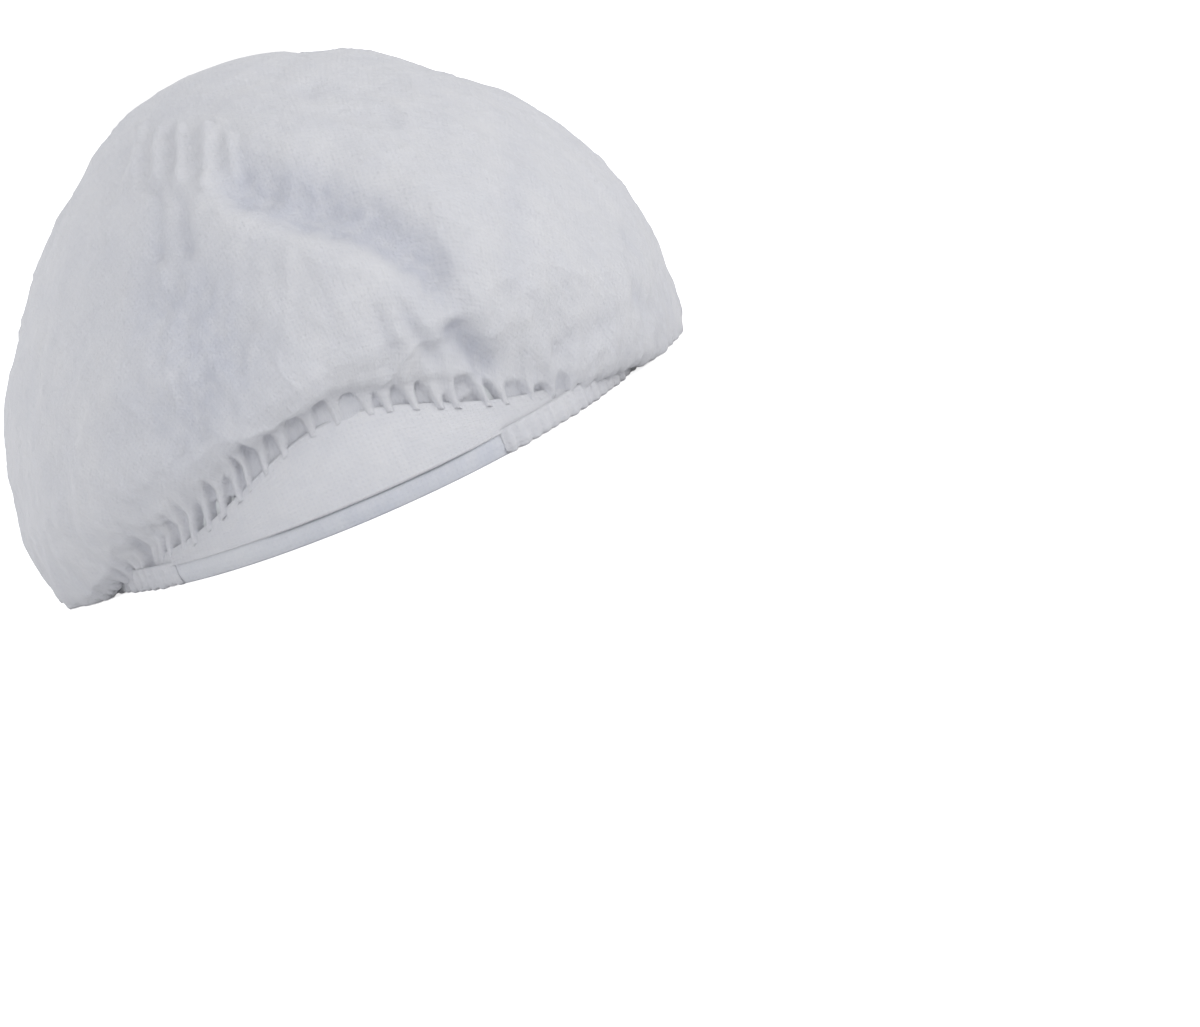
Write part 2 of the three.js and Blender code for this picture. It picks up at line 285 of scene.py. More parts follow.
def path_distance(place, path):
    """Distance from each place to a path of points, in the same plane."""
    nearest = np.full(place.shape[:-1], 1e9)
    for start, end in zip(path, path[1:]):
        start, leg = np.array(start, float), np.subtract(end, start)
        share = np.clip(((place - start) @ leg) / (leg @ leg), 0, 1)
        gap = np.linalg.norm(place - start - share[..., None] * leg, axis=-1)
        nearest = np.minimum(nearest, gap)
    return nearest


# Materials

WAVE_PERIOD = 0.3142                       # a wave texture repeats after this length at a scale of 1


class Surface:
    """A material whose nodes are built by name."""

    MIX_A, MIX_B, MIX_RESULT = 6, 7, 2     # a Mix node's own sockets for colours

    def __init__(self, name, colour, roughness, **sockets):
        self.material = bpy.data.materials.new(name)
        self.material.use_nodes = True
        self.nodes = self.material.node_tree.nodes
        self.shader = self.nodes["Principled BSDF"]
        self.output = self.nodes["Material Output"]
        self.shader.inputs["Base Color"].default_value = (*colour, 1)
        self.shader.inputs["Roughness"].default_value = roughness
        for socket, value in sockets.items():
            self.shader.inputs[socket.replace("_", " ")].default_value = value

    def add(self, kind, inputs=None, **settings):
        node = self.nodes.new("ShaderNode" + kind)
        for key, value in settings.items():
            setattr(node, key, value)
        for key, value in (inputs or {}).items():
            if isinstance(value, bpy.types.NodeSocket):
                self.material.node_tree.links.new(value, node.inputs[key])
            else:
                node.inputs[key].default_value = value
        return node

    def link(self, socket, target):
        self.material.node_tree.links.new(socket, target)

    def math(self, operation, a, b=0.0):
        return self.add("Math", {0: a, 1: b}, operation=operation).outputs[0]

    def spread(self, value, low, high, to_low=0.0, to_high=1.0):
        """value moved from the range low to high into to_low to to_high, and held there."""
        inputs = {"Value": value, "From Min": low, "From Max": high, "To Min": to_low, "To Max": to_high}
        return self.add("MapRange", inputs).outputs["Result"]

    def mixed(self, *parts):
        """The sum of values, each times its weight."""
        total = None
        for value, weight in parts:
            part = self.math("MULTIPLY", value, weight)
            total = part if total is None else self.math("ADD", total, part)
        return total

    def rough(self, value, low, high, to_low, to_high):
        """Drives the roughness with a value moved as spread() does."""
        self.link(self.spread(value, low, high, to_low, to_high), self.shader.inputs["Roughness"])

    def place(self):
        """Position on the object, in millimetres."""
        position = self.add("TexCoord").outputs["Object"]
        inputs = {0: position, "Scale": 1 / MM}
        return self.add("VectorMath", inputs, operation="SCALE").outputs["Vector"]

    def flat(self):
        """Place in the flat cloth, in millimetres."""
        return self.add("Attribute", attribute_name="flat").outputs["Vector"]

    def noise(self, at, size, detail=2.0, rough=0.5, warp=0.0):
        inputs = {"Vector": at, "Scale": 1 / size, "Detail": detail, "Roughness": rough,
                  "Distortion": warp}
        return self.add("TexNoise", inputs).outputs["Fac"]

    def tint(self, amount, low, high):
        """Drives the base colour from low to high, both linear colours."""
        mix = self.add("Mix", data_type="RGBA")
        self.link(amount, mix.inputs["Factor"])
        mix.inputs[self.MIX_A].default_value = (*low, 1)
        mix.inputs[self.MIX_B].default_value = (*high, 1)
        self.link(mix.outputs[self.MIX_RESULT], self.shader.inputs["Base Color"])

    def bump(self, layers):
        """Stacks bumps, each a height from 0 to 1 and its depth in millimetres."""
        normal = None
        for height, depth in layers:
            inputs = {"Height": height, "Distance": depth * MM}
            if normal is not None:
                inputs["Normal"] = normal
            normal = self.add("Bump", inputs).outputs["Normal"]
        self.link(normal, self.shader.inputs["Normal"])
        return normal


def shade(colour, factor):
    """A lighter or darker tone of a colour."""
    return tuple(channel * factor for channel in colour)


def nonwoven(name, colour, see_through, crumple):
    """Spunbond cloth: fine crossed fibres, a lattice of bond points and a little show-through.
    Shade is painted into its colour: the hollow value makes the cloth bluer and darker there."""
    s = Surface(name, colour, 0.8, Sheen_Weight=0.12, Sheen_Roughness=0.5, Specular_IOR_Level=0.3)
    flat = s.flat()
    fibres = s.noise(flat, 0.9, 3.0, 0.6, 2.5)
    strands = s.spread(s.math("ABSOLUTE", s.math("SUBTRACT", fibres, 0.5)), 0.0, 0.08, 1.0, 0.0)
    lattice = {"Vector": flat, "Scale": 1 / 1.5, "Randomness": 0.0}
    bonds = s.add("TexVoronoi", lattice, voronoi_dimensions="2D").outputs["Distance"]
    points = s.spread(bonds, 0.18, 0.3, 1.0, 0.0)
    clouds = s.noise(flat, 16.0, 4.0, 0.6)
    cockle = s.noise(flat, 5.0, 2.0, 0.5)
    tone = s.mixed((clouds, 0.6), (strands, 0.2), (cockle, 0.25))
    tone = s.math("SUBTRACT", tone, s.math("MULTIPLY", points, 0.12))
    # painted shade: the hollow attribute darkens the colour and turns it bluer, mottled by the cockle
    shadowed = s.math("MULTIPLY", s.add("Attribute", attribute_name="painted_shade").outputs["Fac"],
                      s.spread(cockle, 0.35, 0.65, 0.6, 1.5))
    tone = s.math("SUBTRACT", s.spread(tone, 0.25, 0.75, 0.45, 1.0), s.math("MULTIPLY", shadowed, 0.45))
    bluish = tuple(channel * part for channel, part in zip(colour, (0.84, 0.86, 0.925)))
    s.tint(tone, bluish, shade(colour, 1.05))
    s.rough(points, 0.0, 1.0, 0.85, 0.6)
    normal = s.bump([(cockle, crumple), (points, -0.05), (strands, 0.03)])
    glow = s.add("BsdfTranslucent", {"Color": (*colour, 1), "Normal": normal}).outputs[0]
    mix = s.add("MixShader", {0: see_through, 1: s.shader.outputs[0], 2: glow}).outputs[0]
    s.link(mix, s.output.inputs["Surface"])
    return s.material


def plastic():
    """Injection-moulded ABS: a fine spark-eroded grain with a soft, slightly uneven gloss."""
    s = Surface("moulded ABS", ABS_WHITE, 0.4, Coat_Weight=0.05, Coat_Roughness=0.3)
    place = s.place()
    grain = s.noise(place, 0.45, 2.0, 0.5)
    flow = s.noise(place, 24.0, 3.0, 0.55, 0.8)
    scuffs = s.spread(s.noise(place, 1.6, 4.0, 0.7, 1.5), 0.62, 0.75)
    s.tint(s.spread(flow, 0.3, 0.7), shade(ABS_WHITE, 0.95), ABS_WHITE)
    s.rough(s.math("ADD", flow, s.math("MULTIPLY", scuffs, 0.3)), 0.3, 0.95, 0.34, 0.56)
    s.bump([(flow, 0.15), (grain, 0.012)])
    return s.material


def rubber():
    """Extruded soft bead: matt, with faint lines along its length."""
    s = Surface("soft bead", BEAD_GREY, 0.7)
    place = s.place()
    squeeze = s.add("VectorMath", {0: place, 1: (0.15, 0.15, 4.0)}, operation="MULTIPLY").outputs["Vector"]
    lines = s.noise(squeeze, 1.2, 2.0, 0.5)
    dust = s.noise(place, 3.0, 4.0, 0.65)
    s.tint(s.spread(dust, 0.35, 0.75), shade(BEAD_GREY, 0.9), shade(BEAD_GREY, 1.12))
    s.rough(dust, 0.3, 0.7, 0.6, 0.8)
    s.bump([(lines, 0.06), (s.noise(place, 0.3), 0.01)])
    return s.material


def foam():
    """Closed-cell EVA: small round cells cut open at the skin."""
    s = Surface("EVA foam", FOAM_BLUE, 0.9, Specular_IOR_Level=0.25)
    place = s.place()
    cells = s.add("TexVoronoi", {"Vector": place, "Scale": 1 / 0.7}).outputs["Distance"]
    cups = s.spread(cells, 0.0, 0.45)
    clouds = s.noise(place, 7.0, 3.0, 0.6)
    # painted shade: each open cell is darker in its dented middle, under random clouds
    tone = s.mixed((clouds, 0.7), (cups, 0.3))
    s.tint(s.spread(tone, 0.3, 0.8), shade(FOAM_BLUE, 0.86), shade(FOAM_BLUE, 1.08))
    s.rough(cups, 0.0, 1.0, 0.96, 0.84)
    s.bump([(clouds, 0.2), (cups, 0.08)])
    return s.material


def towelling():
    """Terry cloth: a dense pile of little loops in uneven rows."""
    s = Surface("towelling", TOWEL_BLUE, 1.0, Sheen_Weight=0.35, Sheen_Roughness=0.5,
                Specular_IOR_Level=0.2)
    place = s.place()
    loops = s.add("TexVoronoi", {"Vector": place, "Scale": 1 / 0.9, "Randomness": 0.8}).outputs["Distance"]
    tufts = s.spread(loops, 0.0, 0.6, 1.0, 0.0)
    wear = s.noise(place, 12.0, 3.0, 0.6)
    # painted shade: darker between the loops and lighter on their raised tops, with random wear
    tone = s.mixed((tufts, 0.6), (wear, 0.4))
    s.tint(tone, shade(TOWEL_BLUE, 0.72), shade(TOWEL_BLUE, 1.15))
    s.rough(tufts, 0.0, 1.0, 1.0, 0.88)
    s.bump([(tufts, 0.4), (s.noise(place, 0.25, 2.0), 0.08)])
    return s.material


def woven(name, colour, pitch, relief):
    """A fine plain weave, from two crossed sets of threads."""
    s = Surface(name, colour, 0.75, Sheen_Weight=0.15, Sheen_Roughness=0.4)
    flat = s.flat()
    waves = {"Vector": flat, "Scale": WAVE_PERIOD / pitch, "Distortion": 0.3}
    warp = s.add("TexWave", waves, bands_direction="X").outputs["Fac"]
    weft = s.add("TexWave", waves, bands_direction="Y").outputs["Fac"]
    threads = s.math("MAXIMUM", warp, s.math("MULTIPLY", weft, 0.9))
    slub = s.noise(flat, 2.5, 3.0, 0.6)
    # painted shade: darker between the threads and lighter on their raised crests, with random slub
    tone = s.mixed((threads, 0.5), (slub, 0.5))
    s.tint(s.spread(tone, 0.2, 0.9), shade(colour, 0.85), shade(colour, 1.05))
    s.rough(threads, 0.0, 1.0, 0.9, 0.65)
    s.bump([(slub, 0.08), (threads, relief)])
    return s.material


# Base colours, linear
CLOTH_WHITE = (0.70, 0.70, 0.722)
HEM_WHITE = (0.69, 0.697, 0.722)
ABS_WHITE = (0.76, 0.78, 0.79)
BEAD_GREY = (0.32, 0.35, 0.38)
FOAM_BLUE = (0.26, 0.32, 0.38)
TOWEL_BLUE = (0.27, 0.40, 0.55)
TAPE_WHITE = (0.66, 0.67, 0.69)
SATIN_WHITE = (0.80, 0.80, 0.80)
THREAD_WHITE = (0.74, 0.74, 0.76)

CROWN_CLOTH = nonwoven("crown nonwoven", CLOTH_WHITE, 0.12, 0.9)
PANEL_CLOTH = nonwoven("panel nonwoven", shade(CLOTH_WHITE, 1.02), 0.1, 0.4)
HEM_CLOTH = nonwoven("folded nonwoven", HEM_WHITE, 0.06, 0.4)
ABS = plastic()
BEAD = rubber()
FOAM = foam()
TOWEL = towelling()
ELASTIC_WEB = woven("elastic web", TAPE_WHITE, 0.8, 0.12)
HOOK_TAPE = woven("hook tape", TAPE_WHITE, 0.5, 0.08)
SATIN = woven("label satin", SATIN_WHITE, 0.35, 0.03)
THREAD = woven("sewing thread", THREAD_WHITE, 0.25, 0.03)


def sew(name, points, outward, length, gap, radius, stands_off=0.12):
    """Stitches on the cover along a line of points, each a small bar arched in its outward direction."""
    run = np.concatenate([[0], np.cumsum(np.linalg.norm(np.diff(points, axis=0), axis=-1))])
    rounds = 6
    bar = np.linspace(-1, 1, 7)
    verts, faces = [], []
    for start in np.arange(gap, run[-1] - length, length + gap):
        at = start + (bar + 1) / 2 * length
        spine = np.stack([np.interp(at, run, points[:, k]) for k in range(3)], axis=-1)
        out = np.stack([np.interp(at, run, outward[:, k]) for k in range(3)], axis=-1)
        along = np.gradient(spine, axis=0)
        along /= np.linalg.norm(along, axis=-1, keepdims=True)
        side = np.cross(along, out)
        arch = stands_off * (1 - bar ** 4) - radius * np.abs(bar) ** 6
        thick = radius * np.sqrt(np.maximum(1 - (0.98 * bar) ** 6, 0))
        first = len(verts)
        for centre, o, c, lift, r in zip(spine, out, side, arch, thick):
            for k in range(rounds):
                a = 2 * math.pi * k / rounds
                verts.append(centre + o * (lift + r * math.sin(a)) + c * r * math.cos(a))
        faces += tube_faces(first, len(bar), rounds)
    verts = np.array(verts)
    seam = mesh_object(name, verts, faces, THREAD, verts[:, :2])
    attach(seam, "cover")


def weld(obj, gap=0.02, hole=0):
    """Joins points that lie on each other, fills holes of up to that many sides and turns the
    faces outwards."""
    mesh = bmesh.new()
    mesh.from_mesh(obj.data)
    bmesh.ops.remove_doubles(mesh, verts=mesh.verts, dist=gap * MM)
    if hole:
        bmesh.ops.holes_fill(mesh, edges=mesh.edges, sides=hole)
    bmesh.ops.recalc_face_normals(mesh, faces=mesh.faces)
    mesh.to_mesh(obj.data)
    mesh.free()
    return obj


def smooth_once(obj):
    """One level of subdivision, which rounds the edges of a coarse closed mesh."""
    obj.modifiers.new("rounding", "SUBSURF").levels = 1
    obj.modifiers["rounding"].render_levels = 1


def dome_axes(turn, climb, inset):
    """A matrix in millimetres on the dome: x round the cap, y up the dome, z straight out."""
    nudge = 1e-3
    here = Vector(dome_points(turn, climb, inset))
    along = (Vector(dome_points(turn + nudge, climb, inset)) - here).normalized()
    upward = Vector(dome_points(turn, climb + nudge, inset)) - here
    outward = along.cross(upward).normalized()
    turned = Matrix((along, outward.cross(along), outward)).transposed().to_4x4()
    return Matrix.Translation(here) @ turned


# The hard insert

VENT = {"count": 12, "climb": 47, "length": 18, "width": 6}
HALF_SECTOR = math.pi / VENT["count"]
SECTOR_COLUMNS = 12


def slot_reach(across, upward):
    """How far the edge of a vent slot lies from its middle, in the direction given."""
    radius = VENT["width"] / 2
    end = VENT["length"] / 2 - radius
    size = math.hypot(across, upward)
    across, upward = abs(across) / size, abs(upward) / size
    if across > 0 and radius / across * upward <= end:
        return radius / across
    return end * upward + math.sqrt(max(radius ** 2 - (end * across) ** 2, 0))


def rib(turn, climb):
    """Height of the stiffening ribs, which run up the dome between the vents."""
    off = abs((turn / HALF_SECTOR + 1) % 2 - 1)
    band = max(0.0, 1 - ((math.degrees(climb) - 44) / 27) ** 4)
    return 0.9 * math.exp(-(off / 0.13) ** 2) * band


def shell_rows(middle, climbs):
    """Rows of points over one sector of the dome."""
    inset = SHELL["inset"]
    turns = middle + HALF_SECTOR * np.linspace(-1, 1, SECTOR_COLUMNS + 1)
    return [dome_points(turn, climb, inset - rib(turn - middle - HALF_SECTOR, climb))
            for climb in climbs for turn in turns]


def slot_rings(middle, low, high, shares):
    """Rings of points between the border of a sector's middle part and the edge of its vent."""
    inset = SHELL["inset"]
    centre = math.radians(VENT["climb"])
    nudge = 1e-3
    here = dome_points(middle, centre, inset)
    per_turn = np.linalg.norm(dome_points(middle + nudge, centre, inset) - here) / nudge
    per_climb = np.linalg.norm(dome_points(middle, centre + nudge, inset) - here) / nudge
    sides = np.linspace(-1, 1, SECTOR_COLUMNS + 1)[:-1]
    bottom, top = low - centre, high - centre
    climbs = bottom + (top - bottom) * (sides + 1) / 2
    border = [(HALF_SECTOR * side, bottom) for side in sides]
    border += [(HALF_SECTOR, climb) for climb in climbs]
    border += [(-HALF_SECTOR * side, top) for side in sides]
    border += [(-HALF_SECTOR, bottom + top - climb) for climb in climbs]
    points = []
    for share in shares:
        for turn, climb in border:
            across, upward = turn * per_turn, climb * per_climb
            reach = slot_reach(across, upward) / math.hypot(across, upward)
            scale = 1 + (reach - 1) * share
            t, c = turn * scale, centre + climb * scale
            points.append(dome_points(middle + t, c, inset - rib(t - HALF_SECTOR, c)))
    return points


def vented_shell():
    """The dome with its ring of vent slots: each sector is rows of quads, with rings of quads
    that run in from the sector's middle part to the edge of the slot."""
    low_rows = np.radians([0.6, 3, 6, 9, 12.5, 16, 19.5, 23, 26.5, 30])
    high_rows = np.radians([64, 67.5, 71, 75, 79, 83, 87])
    shares = [0, 0.28, 0.52, 0.72, 0.86, 0.95, 1]
    points, faces = [], []
    for sector in range(VENT["count"]):
        middle = (2 * sector + 1) * HALF_SECTOR
        for climbs in (low_rows, high_rows):
            faces += grid_faces(len(climbs), SECTOR_COLUMNS + 1, first=len(points))
            points += shell_rows(middle, climbs)
        faces += grid_faces(len(shares), 4 * SECTOR_COLUMNS, closed=True, first=len(points))
        points += slot_rings(middle, low_rows[-1], high_rows[0], shares)
    cap_first = len(points)
    ring = VENT["count"] * SECTOR_COLUMNS
    points += [dome_points(turn, high_rows[-1], SHELL["inset"])
               for turn in 2 * math.pi * np.arange(ring) / ring]
    points.append(dome_points(0.0, math.pi / 2, SHELL["inset"]))
    faces += fan_faces(cap_first, ring, cap_first + ring)
    shell = weld(mesh_object("vented_dome", np.array(points), faces, ABS))
    thicken(shell, SHELL["thick"])
    smooth_once(shell)
    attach(shell, "insert")
    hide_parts("bump_shell")


def edge_bead():
    """The U-shaped bead pushed over the dome's edge, with rounded lips."""
    outer, inner, wall, height, slot = 1.6, 6.0, 0.9, 5.0, 1.2
    lip = wall / 2
    soft = 0.2
    over = np.linspace(0.3, math.pi - 0.3, 5)
    under = np.linspace(0.3, 1.5, 4)
    profile = [(outer, wall), (outer, height - 0.5)]
    profile += arc_points((outer + lip, height - lip), lip, over, up=1)
    profile += [(outer + wall, height - 0.6), (outer + wall, slot + soft), (outer + wall + soft, slot)]
    profile += [(inner - wall - soft, slot), (inner - wall, slot + soft), (inner - wall, height - 0.6)]
    profile += arc_points((inner - lip, height - lip), lip, over, up=1)
    profile += [(inner, height - 0.5), (inner, wall)]
    profile += arc_points((inner - wall, wall), wall, under, side=1)
    profile += arc_points((outer + wall, wall), wall, under[::-1])
    turn = 2 * math.pi * np.arange(360) / 360
    grid = strip_points(turn, profile)
    faces = grid_faces(*grid.shape[:2], closed=True, looped=True)
    bead = weld(mesh_object("edge_bead", grid, faces, BEAD))
    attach(bead, "insert")
    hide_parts("edge_trim")


def cushion(name, node, turns, climbs, inset, thick, crown, material, grooves=(), corner=7, dimple=0.0,
            pile=0.0):
    """A pad on the inside of the dome: flat against it, rounded at its edges and crowned inwards.
    grooves are the channels pressed across it, as shares of its width from its middle."""
    across, upward = 110, 44
    u, v = np.meshgrid(np.linspace(-1, 1, across), np.linspace(-1, 1, upward))
    edge = np.maximum(np.abs(u), np.abs(v))
    length = (np.abs(u) ** corner + np.abs(v) ** corner) ** (1 / corner)
    scale = np.where(edge > 0, edge / np.maximum(length, 1e-9), 1)
    u, v = u * scale, v * scale
    turn = math.radians(sum(turns) / 2) + u * math.radians(turns[1] - turns[0]) / 2
    climb = math.radians(sum(climbs) / 2) + v * math.radians(climbs[1] - climbs[0]) / 2
    body = np.maximum(1 - edge ** 14, 0) ** 0.5
    rise = crown * (1 - edge ** 3)
    for groove in grooves:
        rise = rise - 1.5 * np.exp(-((u - groove) / 0.035) ** 2) * smoothstep(1.0, 0.86, np.abs(v))
    near = (u * 9) ** 2 + ((climb - RIVET_CLIMB) / math.radians(4)) ** 2
    rise = rise - dimple * np.exp(-near)
    back = dome_points(turn, climb, inset + thick * (0.5 - 0.5 * body))
    face = dome_points(turn, climb, inset + thick * (0.5 + 0.5 * body) + rise * body)
    if pile:
        tufts = noise_field(face, 1.1, 31)
        face = dome_points(turn, climb, inset + thick * (0.5 + 0.5 * body) + (rise + pile * tufts) * body)
    back_faces = grid_faces(upward, across)
    first = across * upward
    faces = back_faces + [tuple(first + i for i in reversed(quad)) for quad in back_faces]
    pad = weld(mesh_object(name, np.concatenate([back, face]), faces, material))
    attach(pad, "insert")
    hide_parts(node)


def crown_ring():
    """The ring of foam under the top of the dome, with six pressed channels."""
    columns, around = 240, 28
    turn = (2 * math.pi * np.arange(columns) / columns)[None, :]
    a = (2 * math.pi * np.arange(around) / around)[:, None]
    c = np.sign(np.cos(a)) * np.abs(np.cos(a)) ** 0.45
    d = np.sign(np.sin(a)) * np.abs(np.sin(a)) ** 0.45
    climb = np.radians(74) + c * np.radians(12) + 0 * turn
    groove = np.exp(-(((turn * 6 / math.pi + 1) % 2 - 1) / 0.16) ** 2)
    inward = (d + 1) / 2
    depth = PAD_INSET + 8 * inward + (0.6 * (1 - c ** 2) - 1.6 * groove * (1 - c ** 4)) * inward
    grid = dome_points(turn, climb, depth)
    faces = grid_faces(around, columns, closed=True, looped=True)
    ring = weld(mesh_object("crown_foam_ring", grid, faces, FOAM))
    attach(ring, "insert")
    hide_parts("crown_pad")


def rivet(name, node, turn):
    """A push-in rivet: a domed head with a soft rim, a shank and three barbs."""
    head, shank, barb = 5, 2.0, 2.75
    tip, end = 1.5, -5.2
    profile = [(head * math.sin(a), 0.5 + math.cos(a)) for a in np.linspace(0.02, math.pi / 2, 10)]
    profile += [(head, 0.42), (head - 0.15, 0.3), (shank + 0.2, 0.3), (shank, 0.1)]
    for index in range(3):
        low = -1.3 - 1.2 * index
        profile += [(shank, low), (barb, low - 0.15), (barb - 0.05, low - 0.3), (shank - 0.1, low - 1.0)]
    profile += [(1.4, end + 0.1), (0.9, end)]
    rounds = 40
    placed = dome_axes(turn, RIVET_CLIMB, SHELL["inset"])
    points = [placed @ Vector((0, 0, tip))]
    for radius, height in profile:
        for k in range(rounds):
            a = 2 * math.pi * k / rounds
            points.append(placed @ Vector((radius * math.cos(a), radius * math.sin(a), height)))
    points.append(placed @ Vector((0, 0, end)))
    last = len(points) - 1
    faces = fan_faces(1, rounds, 0) + fan_faces(last - rounds, rounds, last)
    faces += [quad[::-1] for quad in grid_faces(len(profile), rounds, closed=True, first=1)]
    peg = weld(mesh_object(name, np.array([tuple(p) for p in points]), faces, ABS), gap=0.001)
    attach(peg, "insert")
    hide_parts(node)


def patch_disc(name, body, node, climb, outer, thick):
    """A round patch of tape on the top of the dome, down to a climb, with a soft cut edge."""
    columns = 120
    turn = (2 * math.pi * np.arange(columns) / columns)[None, :]
    steps = np.radians(np.linspace(climb, 90, 16))[:, None]
    top = dome_points(turn, steps, outer)
    bottom = dome_points(turn, steps, outer + thick)
    rim = dome_points(turn, steps[:1] - 0.002, outer + thick / 2)
    grid = np.concatenate([bottom[::-1], rim, top])[1:-1]
    faces = grid_faces(len(grid), columns, closed=True)
    patch = weld(mesh_object(name, grid, faces, HOOK_TAPE, grid[..., :2]), hole=columns)
    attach(patch, body)
    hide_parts(node)


def bent_hook(base, lean, rounds, joints):
    """Rings of points up one hook: its stem stands straight, then curls over towards lean."""
    stem = 0.45
    verts = []
    for step in range(joints):
        share = step / (joints - 1)
        bend = max(0.0, share - stem) / (1 - stem) * math.pi
        sideways = lean * HOOKS["curl"] * (1 - math.cos(bend))
        rise = HOOKS["stem"] * min(share / stem, 1) + HOOKS["curl"] * math.sin(bend)
        for k in range(rounds):
            a = 2 * math.pi * k / rounds
            swing = Vector((math.cos(a) * math.cos(bend), math.sin(a),
                            -lean * math.cos(a) * math.sin(bend)))
            verts.append(tuple(base + Vector((sideways, 0, rise)) + swing * HOOKS["radius"]))
    return verts


def hooks():
    """The rows of bent hooks on the insert's patch."""
    rounds, joints = 5, 8
    reach = 14
    half_x, half_y = DOME_UNDER_HOOKS
    verts, faces = [], []
    for i in range(-reach, reach + 1):
        for j in range(-reach, reach + 1):
            x = HOOKS["pitch"] * (i + 0.5 * (j % 2))
            y = HOOKS["pitch"] * 0.87 * j
            ground = math.hypot(x / half_x, y / half_y)
            climb = math.acos(min(1, ground) ** (SHELL["shape"] / 2))
            if math.degrees(climb) < HOOKS["climb"]:
                continue
            turn = math.atan2(x / half_x, -y / half_y)
            base = Vector(dome_points(turn, climb, HOOKS["inset"]))
            faces += tube_faces(len(verts), joints, rounds)
            verts += bent_hook(base, 1 if i % 2 else -1, rounds, joints)
    verts = np.array(verts)
    field = mesh_object("patch_hooks", verts, faces, HOOK_TAPE, verts[:, :2])
    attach(field, "insert")


def insert():
    """The hard insert: its dome, bead, pads, towelling, rivets and hooks."""
    vented_shell()
    edge_bead()
    cushion("front_foam", "front_pad", FRONT_TURNS, PAD_CLIMBS, PAD_INSET, FRONT_FOAM, 0.1, FOAM)
    for side_name, turns in SIDE_PADS.items():
        cushion(side_name + "_foam", side_name + "_pad", turns, PAD_CLIMBS, PAD_INSET, 6.5, 1.0, FOAM,
                grooves=(-0.34, 0.34), dimple=1.4)
    crown_ring()
    cushion("brow_towelling", "sweatband", FRONT_TURNS, TOWEL_CLIMBS, PAD_INSET + FRONT_FOAM + CLEARANCE,
            2, 0.3, TOWEL, corner=12, pile=0.3)
    for index, side_name in enumerate(["front", "left", "rear", "right"]):
        rivet(side_name + "_push_rivet", side_name + "_rivet", index * RIVET_SPACING)
    patch_disc("hook_disc", "insert", "crown_hook_patch", **HOOK_PATCH)
    hooks()


# The cover

# Folds and hollows of the crown's front: path in the plane of X and Z, width and height
CROWN_FOLDS = [
    ([(-23, 120), (-29, 109)], 1.6, 2.0),
    ([(-17, 118), (-23, 107)], 1.6, 2.2),
    ([(-11, 116), (-17, 104)], 1.6, 2.2),
    ([(-4, 113), (-10, 101)], 1.7, 2.0),
    ([(1, 109), (-2, 101)], 1.7, 1.6),
    ([(8, 109), (30, 97), (42, 83), (49, 67), (50, 60)], 6, 2.2),
    ([(0, 97), (19, 85), (29, 74), (36, 61), (39, 55)], 7.5, -6.8),
    ([(13, 83), (17, 80)], 6, -2.0),
    ([(-9, 92), (2, 79), (14, 70), (27, 60), (42, 52)], 5, 1.6),
    ([(13, 62), (17, 62)], 10, 2.2),
    ([(-30, 74), (-26, 58)], 17, -4.5),
    ([(-50, 48), (-38, 44)], 10, -2.5),
    ([(-24, 103), (-31, 90)], 2.2, -1.5),
    ([(-18, 100), (-22, 87)], 2.2, -1.5),
    ([(20, 52), (20, 42)], 2.6, -1.6),
    ([(27, 48), (29, 34)], 2.6, -2.0),
    ([(38, 46), (41, 44)], 3.0, -1.2),
    ([(38, 37), (41, 26)], 4.5, -4.5),
    ([(75, 75), (65, 59), (57, 43)], 4, -1.2),
    ([(96, 38), (96, 34)], 4, -1.6),
    ([(90, 20), (92, 16)], 4, -1.6),
    ([(77, 20), (63, 19)], 4, -1.3),
    ([(24, 114), (28, 110)], 1.8, -0.8),
    ([(29, 114), (34, 110)], 1.8, -0.7),
    ([(38, 107), (43, 104)], 2.2, -0.7),
    ([(46, 100), (46, 94)], 2.2, -0.7),
    ([(-61, 29), (-46, 36)], 6, -1.2),
]

CROWN_COLUMNS = 720
FLARE_ROWS = 40
DOME_ROWS = 66

# How the gathers change round the cap, at turns in degrees
GATHER_TURNS = [-180, -120, -90, -62, -45, -28, -12, 0, 14, 26, 42, 70, 110, 180]
GATHER_SPACING = [8, 8, 6, 5, 5.2, 6.2, 7.8, 9, 8, 6.5, 6, 6, 8, 8]
GATHER_DEPTH = [3.2, 3.2, 1.8, 2.0, 2.5, 2.9, 3.8, 4.6, 4.3, 3.2, 1.6, 1.5, 3.2, 3.2]
GATHER_ROOF = [18, 18, 8, 18, 20, 17, 11, 10.5, 9.5, 9, 6, 6, 18, 18]
GATHER_LEAN = [0, 0, 0.2, 0.5, 0.5, 0.4, 0.2, 0.1, 0, -0.1, 0, 0, 0, 0]
ROOF_SOFT = [0.95, 0.95, 0.8, 0.9, 0.95, 0.8, 0.45, 0.35, 0.35, 0.4, 0.6, 0.7, 0.95, 0.95]
FIN_HALF = [1.8, 1.8, 1.4, 1.4, 1.5, 1.55, 1.5, 1.4, 1.4, 1.5, 1.6, 1.6, 1.8, 1.8]
CREASE_LENGTH = [45, 45, 24, 26, 24, 16, 10, 8, 10, 14, 18, 24, 45, 45]


def by_turn(values, turn):
    """A value of the gathers at a turn, from its list above."""
    return np.interp(np.degrees(turn_off(turn, 0)), GATHER_TURNS, values)


def fin_places(rng, turn, arc):
    """Where the fins of gathered cloth stand along the sewn edge, and their turns."""
    order = np.argsort(arc)
    fins = [arc.min() - 20]
    while fins[-1] < arc.max() + 20:
        here = np.interp(fins[-1], arc[order], turn[order])
        fins.append(fins[-1] + by_turn(GATHER_SPACING, here) * rng.uniform(0.55, 1.45))
    return np.array(fins), np.interp(fins, arc[order], turn[order])


